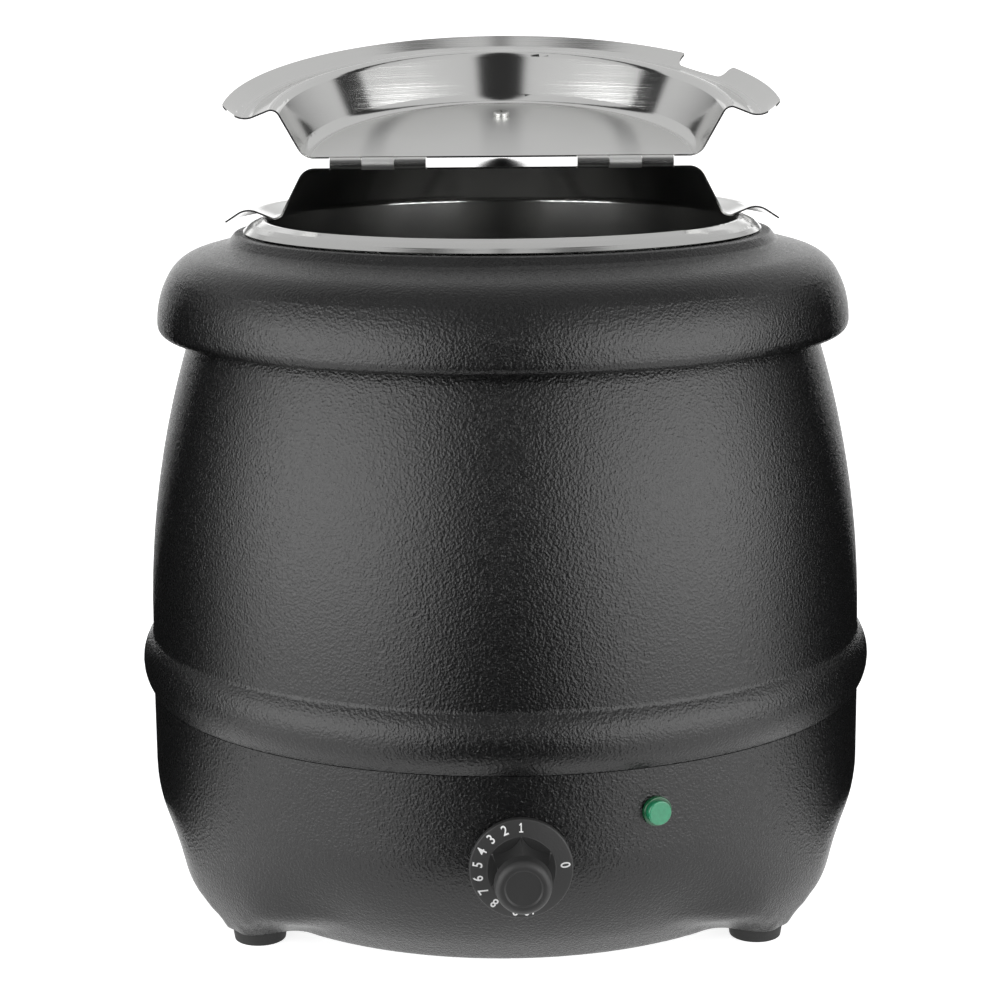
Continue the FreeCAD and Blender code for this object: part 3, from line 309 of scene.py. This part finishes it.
world = bpy.data.worlds.new("studio")
world.use_nodes = True
sky = Wire(world.node_tree)
direction = sky.node("ShaderNodeTexCoord", output="Generated")
ray = sky.node("ShaderNodeSeparateXYZ", None, {"Vector": direction})
side, depth, rise = abs(ray.out("X")), ray.out("Y"), ray.out("Z")
above = rise.clamped(tent_low, tent_high)
opening = (side + depth * opening_half).clamped(-soft_edge, soft_edge)
slit = abs(depth + side * slit_lean) - side * slit_half
tent = (above * opening * slit.clamped(-soft_edge, soft_edge)).mix(*tent_tones)
backdrop = seen_rays(sky) * (1 - rise.clamped(backdrop_low, backdrop_high))
background = world.node_tree.nodes["Background"]
sky.feed(background.inputs["Color"], backdrop.mix(tent, grey(1.0)))
scene.world = world
print("tent:", len(world.node_tree.nodes), "nodes")

# %% [markdown]
# ## Dark cards
# A photographer lays black card on a white table to keep the edges of a dark pot from
# fading into the white. Three fans of card lie on the floor here, one towards the camera
# and one behind on each side, and each turns up at its far end. Only mirror rays see
# them, so the floor in the picture stays white and the shadow is left alone.

# %% Dark cards
card_cloud = 40.0
card_tones = grey(0.004), grey(0.008)
card_low, card_tall = 0.001, 1.9
card_far = 6.0
card_steps = 16
card_finish = Finish("black_card", Roughness=0.9, Specular_IOR_Level=0.0)
card_finish.set("Base Color", card_finish.noise(card_cloud).mix(*card_tones))


def dark_card(name, first, last, near):
    """A fan of card on the floor between two azimuths, with an upright far end."""
    corners = []
    for step in range(card_steps + 1):
        azimuth = first + (last - first) * step / card_steps
        for radius, height in ((near, card_low), (card_far, card_low), (card_far, card_tall)):
            corners.append(at_azimuth(azimuth, radius, height))
    faces = []
    for step in range(card_steps):
        for row in (0, 1):
            start = 3 * step + row
            faces.append((start, start + 1, start + 4, start + 3))
    card = stage_sheet(name, corners, faces, card_finish)
    card.visible_camera = False
    card.visible_diffuse = False
    card.visible_shadow = False
    card.visible_transmission = False


dark_card("card_front", first=-21, last=21, near=0.26)
dark_card("card_right", first=85, last=150, near=0.21)
dark_card("card_left", first=210, last=275, near=0.21)

# %% [markdown]
# ## Black powder coat
# The body is coated with a thick powder that melts into small pits and hills, like
# orange peel. A colour alone would look like flat plastic: the pits matter more. Two
# sizes of noise make the height, and the coat is a little duller in the pits. Its colour
# is painted darker in the pits as painted shade, and lighter on the hills.

# %% Black powder coat
peel_scale, peel_share = 880.0, 0.8
fine_scale, fine_share = 2100.0, 0.2
pit_level, hill_level = 0.35, 0.65
painted_pit_shade, painted_hill_light = rgb(0.002, 0.002, 0.0022), rgb(0.005, 0.005, 0.0052)
pit_dullness, hill_gloss = 0.33, 0.1
coat_relief = 0.00042

coat = Finish("black_powder_coat")
peel = coat.noise(peel_scale, detail=1.0)
fine = coat.noise(fine_scale, detail=1.0)
hills = peel * peel_share + fine * fine_share
# Painted shade: the colour follows the height, darker in the pits and lighter on the hills.
coat.set("Base Color", hills.clamped(pit_level, hill_level).mix(painted_pit_shade, painted_hill_light))
coat.set("Roughness", pit_dullness - hills * hill_gloss)
coat.bump(hills, coat_relief)
print("coat:", len(coat.tree.nodes), "nodes")

# %% [markdown]
# ## Steel
# The lid, pot and hinges are stainless sheet. Spinning and polishing leave fine rings
# round the axis, which show as a soft streak in the reflections. A painted texture would
# need an unwrapped mesh. Noise in one dimension, read by the distance from the middle of
# the kettle's foot, changes only from ring to ring on a spun sheet. Plated steel,
# aluminium and copper inside the kettle are made in the same way.

# %% Steel
ring_scale, ring_relief, ring_dullness = 2600.0, 0.00001, 0.05
cloud_scale, cloud_shade, cloud_dullness = 35.0, 0.94, 0.04


def steel(name, tone, roughness):
    """Sheet metal with fine rings round the kettle's axis."""
    made = Finish(name, Metallic=1.0)
    sockets = {"W": made.place.length(), "Scale": ring_scale, "Detail": 2.0}
    rings = made.node("ShaderNodeTexNoise", {"noise_dimensions": "1D"}, sockets)
    made.cloud = made.noise(cloud_scale, detail=4.0)
    shaded = [v * cloud_shade for v in tone]
    made.set("Base Color", made.cloud.mix(rgb(*shaded), rgb(*tone)))
    made.gloss = rings * ring_dullness + made.cloud * cloud_dullness + roughness
    made.set("Roughness", made.gloss)
    made.bump(rings, ring_relief)
    return made


lid_steel = steel("lid_steel", (0.66, 0.66, 0.65), roughness=0.10)
pot_steel = steel("pot_steel", (0.64, 0.64, 0.63), roughness=0.10)
hinge_steel = steel("hinge_steel", (0.74, 0.74, 0.73), roughness=0.16)
leaf_steel = steel("leaf_steel", (0.80, 0.80, 0.79), roughness=0.34)
plated_steel = steel("plated_steel", (0.62, 0.62, 0.60), roughness=0.34)
galvanised = steel("galvanised_sheet", (0.55, 0.56, 0.57), roughness=0.45)
dark_sheath = steel("element_sheath", (0.24, 0.22, 0.21), roughness=0.42)
plain_aluminium = steel("plain_aluminium", (0.76, 0.76, 0.77), roughness=0.38)
copper_tube = steel("sensor_copper", (0.72, 0.42, 0.28), roughness=0.30)
print("steel:", len(lid_steel.tree.nodes), "nodes")

# %% [markdown]
# ## Flap
# The flap's wall was drawn over a polished tool and mirrors the room, while its flat
# middle and its flange keep the duller skin of the sheet. Painting a mask would need an
# unwrapped mesh. The angle between the surface and the flat of the open flap gives the
# same mask with one dot product, and it stays with the flap when the flap swings.

# %% Flap
flap_lean = math.radians(13.0)
flap_flat = (0.0, -math.sin(flap_lean), math.cos(flap_lean))
flat_from, flat_full = 0.97, 0.995
skin_dullness = 0.26

flap_steel = steel("flap_steel", (0.76, 0.76, 0.75), roughness=0.07)
facing = flap_steel.place.out("Normal")
flatness = abs(flap_steel.vector("DOT_PRODUCT", facing, flap_flat, output="Value"))
flat_sheet = flatness.clamped(flat_from, flat_full)
flap_steel.set("Roughness", flap_steel.gloss + flat_sheet * skin_dullness)
print("flap:", len(flap_steel.tree.nodes), "nodes")

# %% [markdown]
# ## Pot
# The pot's wall is polished, but its bottom is scoured by ladles and stays dull. Its
# colour is also painted darker there, as painted shade at the bottom of the deep pot.
# Height above the floor tells the two apart, since the bottom is the only part of the pot
# that lies so low.

# %% Pot
bottom_low, bottom_high = 0.071, 0.085
wall_tones = rgb(0.60, 0.60, 0.59), rgb(0.64, 0.64, 0.63)
bottom_painted_shade = rgb(0.30, 0.30, 0.295)
scour_dullness = 0.3

height = pot_steel.node("ShaderNodeSeparateXYZ", None, {"Vector": pot_steel.place}, "Z")
scoured_and_shaded = 1 - height.clamped(bottom_low, bottom_high)
# Painted shade: the bottom's colour is painted darker, while its added dullness comes from
# the scouring.
pot_steel.set("Base Color", scoured_and_shaded.mix(pot_steel.cloud.mix(*wall_tones), bottom_painted_shade))
pot_steel.set("Roughness", pot_steel.gloss + scoured_and_shaded * scour_dullness)
print("pot:", len(pot_steel.tree.nodes), "nodes")

# %% [markdown]
# ## Plastics and rubber
# The knob and handle are moulded phenolic with a dull, slightly cloudy skin. The feet
# are black rubber, duller still. Inside there are nylon blocks and wire insulation. They
# differ only in colour, gloss and grain, so one function makes them all.

# %% Plastics and rubber
blotch_scale, blotch_shade = 90.0, 0.8
grain_dullness = 0.1


def moulding(name, tone, roughness, grain, relief):
    """A moulded plastic or rubber: cloudy colour, even gloss and a faint grain."""
    made = Finish(name)
    skin = made.noise(grain, detail=2.0)
    shaded = [v * blotch_shade for v in tone]
    made.set("Base Color", made.noise(blotch_scale).mix(rgb(*shaded), rgb(*tone)))
    made.set("Roughness", skin * grain_dullness + roughness)
    made.bump(skin, relief)
    return made


wire_skin = {"roughness": 0.35, "grain": 500.0, "relief": 0.00003}
phenolic = moulding("black_phenolic", (0.022, 0.022, 0.022), 0.46, 900.0, 0.00006)
nylon = moulding("black_nylon", (0.02, 0.02, 0.02), 0.45, 700.0, 0.00008)
rubber = moulding("black_rubber", (0.016, 0.016, 0.016), 0.62, 1100.0, 0.00015)
white_nylon = moulding("white_nylon", (0.78, 0.77, 0.72), 0.40, 700.0, 0.00005)
brown_wire = moulding("brown_insulation", (0.16, 0.06, 0.02), **wire_skin)
blue_wire = moulding("blue_insulation", (0.02, 0.08, 0.4), **wire_skin)
print("moulding:", len(phenolic.tree.nodes), "nodes")

# %% [markdown]
# ## Earth wire
# An earth lead is green with a yellow stripe. Two materials on one lead would need its
# mesh cut up. Slanting bands of a wave texture, squeezed until their edges are sharp, mix
# the two colours on the whole lead instead.

# %% Earth wire
stripe_scale = 120.0
stripe_from, stripe_full = 0.45, 0.55
wire_green, stripe_yellow = rgb(0.03, 0.25, 0.04), rgb(0.75, 0.62, 0.03)

earth_wire = Finish("green_insulation", Roughness=0.35)
sockets = {"Vector": earth_wire.place, "Scale": stripe_scale}
wave = earth_wire.node("ShaderNodeTexWave", {"bands_direction": "DIAGONAL"}, sockets, "Fac")
stripe = wave.clamped(stripe_from, stripe_full)
earth_wire.set("Base Color", stripe.mix(wire_green, stripe_yellow))
print("earth wire:", len(earth_wire.tree.nodes), "nodes")

# %% [markdown]
# ## Green lamp
# The lamp's cap is clear green plastic over a small neon. It is not lit in the picture,
# so it needs no glow: a strong green with a glossy skin and fine ribs inside is enough.
# The cap is darker round its edge, and the distance from the lamp's own axis masks that
# ring.

# %% Green lamp
ring_from, ring_full = 0.0050, 0.0056
ring_green = rgb(0.004, 0.085, 0.030)
cap_greens = rgb(0.016, 0.20, 0.095), rgb(0.028, 0.29, 0.145)
rib_scale, rib_relief = 520.0, 0.0001

low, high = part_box("indicator_lens")
lamp_centre = (Vector(low) + Vector(high)) / 2
lamp_axis = Vector((lamp_centre.x, lamp_centre.y, 0.0)).normalized()
lens = Finish("green_lens", Roughness=0.2, Coat_Weight=0.5, Coat_Roughness=0.12)
inside = lens.vector("SUBTRACT", lens.place, lamp_centre)
from_axis = lens.vector("CROSS_PRODUCT", inside, lamp_axis).length()
ribs = lens.noise(rib_scale, detail=1.0)
ring = from_axis.clamped(ring_from, ring_full)
lens.set("Base Color", ring.mix(ribs.mix(*cap_greens), ring_green))
lens.bump(ribs, rib_relief)
print("lamp:", [round(v, 4) for v in lamp_centre])

# %% [markdown]
# ## Finishes on the pieces
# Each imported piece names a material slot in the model's record, and its slot picks the
# finish. The pot, water bath, flap and hinges are told apart by name instead, since each
# of them was polished in its own way. Only the material changes: the meshes stay as they
# were packed.

# %% Finishes on the pieces
finishes = {
    "black_powder_coat": coat,
    "satin_steel": lid_steel,
    "plated_steel": plated_steel,
    "galvanised_sheet": galvanised,
    "element_sheath": dark_sheath,
    "plain_aluminium": plain_aluminium,
    "black_phenolic": phenolic,
    "black_nylon": nylon,
    "black_rubber": rubber,
    "green_lens": lens,
    "white_nylon": white_nylon,
    "sensor_copper": copper_tube,
    "brown_insulation": brown_wire,
    "blue_insulation": blue_wire,
    "green_insulation": earth_wire,
}
own_finish = {"soup_pot": pot_steel, "water_bath": pot_steel, "lid_flap": flap_steel}
for node in frame["nodes"]:
    if node.startswith("hinge"):
        own_finish[node] = leaf_steel if "flap" in node else hinge_steel
slot_of = {part["node"]: part["material_slot"] for part in frame["record"]["subparts"]}
for node, shape in frame["nodes"].items():
    finish = own_finish.get(node) or finishes[slot_of[node]]
    shape.data.materials.clear()
    shape.data.materials.append(finish.material)
print("finishes on", len(frame["nodes"]), "pieces")

# %% [markdown]
# ## Outlines of the figures
# The skirt of the knob is printed with plain white figures. A picture of them could be
# laid on the skirt, but a text object gives each figure its true outline at any distance.
# The picture's 1 has a flag and a foot, which Blender's own letters lack, so that one is
# drawn as a closed line of points.

# %% Outlines of the figures
figure_size = 0.0060
figure_bold = 0.00008
one_foot, one_stem, one_high = 0.0010, 0.0003, 0.0020
foot_thickness = 0.0005
foot_top = foot_thickness - one_high
one_outline = [
    (-one_foot, -one_high), (one_foot, -one_high), (one_foot, foot_top),
    (one_stem, foot_top), (one_stem, one_high), (-0.0002, one_high),
    (-0.0010, 0.0012), (-0.0007, 0.0009), (-one_stem, 0.0013),
    (-one_stem, foot_top), (-one_foot, foot_top),
]


def flat_figure(word):
    """A plain figure from Blender's own letters, as a curve."""
    curve = bpy.data.curves.new("figure", "FONT")
    curve.body = word
    curve.size = figure_size
    curve.align_x = "CENTER"
    curve.align_y = "CENTER"
    curve.resolution_u = 4
    curve.offset = figure_bold
    return curve


def flagged_one():
    """A one with a flag and a foot, as a curve."""
    curve = bpy.data.curves.new("figure", "CURVE")
    curve.dimensions = "2D"
    curve.fill_mode = "BOTH"
    outline = curve.splines.new("POLY")
    outline.points.add(len(one_outline) - 1)
    for point, (x, y) in zip(outline.points, one_outline):
        point.co = (x, y, 0.0, 1.0)
    outline.use_cyclic_u = True
    return curve


print("outline of the one:", len(one_outline), "points")

# %% [markdown]
# ## Figures on the knob
# The figures run round the skirt against the clock with their tops outwards. Three
# directions at each figure, across it, to its top and out of the sloped skirt, make the
# matrix that lays it down. Each figure lies a hair above the skirt and rides on the knob.

# %% Figures on the knob
knob_azimuth, knob_seat, knob_height = 2.0, 0.168605, 0.0599
knob_centre = at_azimuth(knob_azimuth, knob_seat, knob_height)
knob_out = at_azimuth(knob_azimuth, 1.0)
knob_right = at_azimuth(knob_azimuth + 90, 1.0)
knob_up = Vector((0.0, 0.0, 1.0))
skirt_radius, skirt_edge = 0.022, 0.0036
skirt_drop, skirt_run = 0.0014, 0.0080
skirt_slope = math.atan2(skirt_drop, skirt_run)
print_gap, print_depth, print_narrow = 0.00004, 0.00003, 0.86
figure_circle = 0.0184
figure_lift = skirt_edge + (skirt_radius - figure_circle) * math.tan(skirt_slope) + print_gap
figure_angles = {
    0: 5, 1: 90, 2: 112, 3: 133, 4: 153.5, 5: 172.5,
    6: 191.5, 7: 210, 8: 232, 9: 262, 10: 280,
}
print_cloud = 900.0
print_tones = grey(0.72), grey(0.82)
print_white = Finish("white_print", Roughness=0.5)
print_white.set("Base Color", print_white.noise(print_cloud).mix(*print_tones))

for figure, angle in figure_angles.items():
    turn_angle = math.radians(angle)
    radial = knob_right * math.cos(turn_angle) + knob_up * math.sin(turn_angle)
    top = radial * math.cos(skirt_slope) - knob_out * math.sin(skirt_slope)
    face = knob_out * math.cos(skirt_slope) + radial * math.sin(skirt_slope)
    across = top.cross(face)
    curve = flagged_one() if figure == 1 else flat_figure(str(figure))
    curve.extrude = print_depth
    shaping = bpy.data.objects.new("figure", curve)
    mesh = bpy.data.meshes.new_from_object(shaping)
    bpy.data.objects.remove(shaping)
    mesh.transform(Matrix.Diagonal((print_narrow, 1.0, 1.0, 1.0)))
    place = Matrix((across, top, face)).transposed().to_4x4()
    place.translation = knob_centre + radial * figure_circle + knob_out * figure_lift
    mesh.transform(place)
    mesh.materials.append(print_white.material)
    piece = bpy.data.objects.new("figure_" + str(figure), mesh)
    scene.collection.objects.link(piece)
    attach(piece, "knob")
print("figures:", len(figure_angles))
